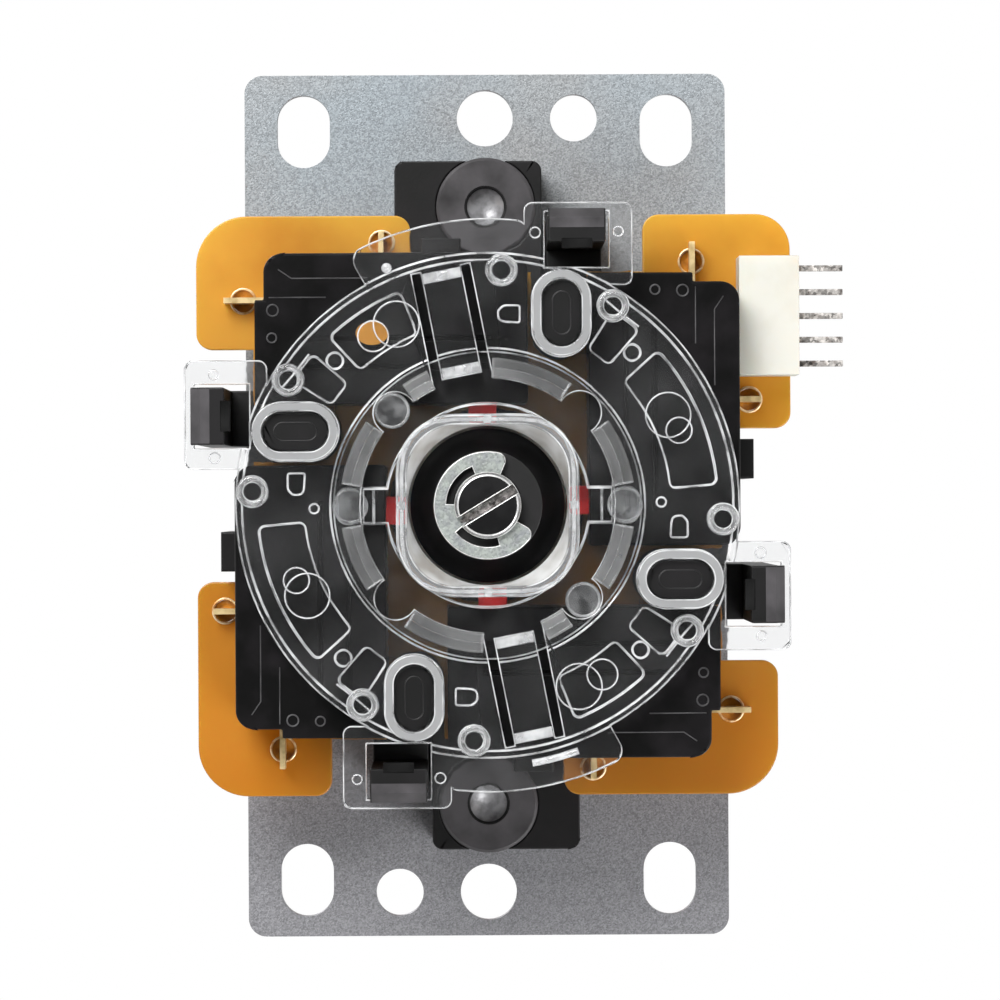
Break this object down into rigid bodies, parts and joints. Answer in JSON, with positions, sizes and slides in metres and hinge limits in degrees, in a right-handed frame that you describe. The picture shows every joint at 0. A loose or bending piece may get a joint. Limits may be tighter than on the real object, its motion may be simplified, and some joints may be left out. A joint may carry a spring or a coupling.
{
  "type": "arcade joystick lever",
  "caption": "Arcade joystick lever with a ball top on a steel plate, microswitches on a circuit board, a pin connector and a clear gate with a rounded square opening.",
  "frame": {"origin": "centre of the four mounting slots on the panel face of the plate, on the shaft axis", "axes": "+Z along the shaft towards the ball, +X along the plate, -Y the way the connector pins point"},
  "size_m": [0.095, 0.0697, 0.0893],
  "materials": {
    "zinc_plate": "zinc-plated, fine bright grain",
    "black_plastic": "moulded, satin",
    "board_laminate": "amber phenolic laminate, slightly translucent",
    "white_plastic": "moulded, smooth",
    "tinned_steel": "tinned, uneven",
    "clear_plastic": "clear moulded plastic",
    "steel": "turned, bright",
    "ball_plastic": "glossy",
    "red_plastic": "glossy",
    "brass": "bright"
  },
  "bodies": {
    "base": {"mounting_plate": "zinc_plate", "housing": "black_plastic", "plate_screws": "steel", "circuit_board": "board_laminate", "connector_housing": "white_plastic", "connector_pins": "tinned_steel", "gate_plate": "clear_plastic", "dust_washer": "black_plastic", "switch_case_1": "black_plastic", "switch_cover_1": "black_plastic", "switch_tabs_1": "brass", "switch_case_2": "black_plastic", "switch_cover_2": "black_plastic", "switch_tabs_2": "brass", "switch_case_3": "black_plastic", "switch_cover_3": "black_plastic", "switch_tabs_3": "brass", "switch_case_4": "black_plastic", "switch_cover_4": "black_plastic", "switch_tabs_4": "brass"},
    "seat": {"spring_seat": "white_plastic"},
    "pivot": {"pivot_ball": "black_plastic"},
    "lever": {"shaft": "steel", "ball_top": "ball_plastic", "actuator": "black_plastic", "e_clip": "zinc_plate", "centering_spring": "steel"},
    "gate_ring": {"gate_ring": "clear_plastic"},
    "plunger_1": {"plunger_1": "red_plastic"},
    "plunger_2": {"plunger_2": "red_plastic"},
    "plunger_3": {"plunger_3": "red_plastic"},
    "plunger_4": {"plunger_4": "red_plastic"}
  },
  "joints": [
    {"name": "tilt_across", "type": "hinge", "parent": "base", "child": "seat", "pos_m": [0, 0, -0.0086], "axis": [1, 0, 0], "range_deg": [-5, 5], "stiffness_Nm_per_rad": 0.6},
    {"name": "tilt_along", "type": "hinge", "parent": "seat", "child": "pivot", "pos_m": [0, 0, -0.0086], "axis": [0, 1, 0], "range_deg": [-5, 5], "stiffness_Nm_per_rad": 0.6, "deforming": ["centering_spring"]},
    {"name": "shaft_spin", "type": "hinge", "parent": "pivot", "child": "lever", "pos_m": [0, 0, -0.0086], "axis": [0, 0, 1], "continuous": true},
    {"name": "gate_turn", "type": "hinge", "parent": "base", "child": "gate_ring", "pos_m": [0, 0, -0.0275], "axis": [0, 0, 1], "range_deg": [0, 45]},
    {"name": "press_1", "type": "slide", "parent": "base", "child": "plunger_1", "axis": [0, -1, 0], "range_m": [-0.00105, 0.00105]},
    {"name": "press_2", "type": "slide", "parent": "base", "child": "plunger_2", "axis": [1, 0, 0], "range_m": [-0.00105, 0.00105]},
    {"name": "press_3", "type": "slide", "parent": "base", "child": "plunger_3", "axis": [0, 1, 0], "range_m": [-0.00105, 0.00105]},
    {"name": "press_4", "type": "slide", "parent": "base", "child": "plunger_4", "axis": [-1, 0, 0], "range_m": [-0.00105, 0.00105]}
  ],
  "couplings": [
    {"joint": "press_1", "follows": "tilt_across", "m_per_rad": -0.0118},
    {"joint": "press_2", "follows": "tilt_along", "m_per_rad": -0.0118},
    {"joint": "press_3", "follows": "tilt_across", "m_per_rad": 0.0118},
    {"joint": "press_4", "follows": "tilt_along", "m_per_rad": 0.0118}
  ]
}
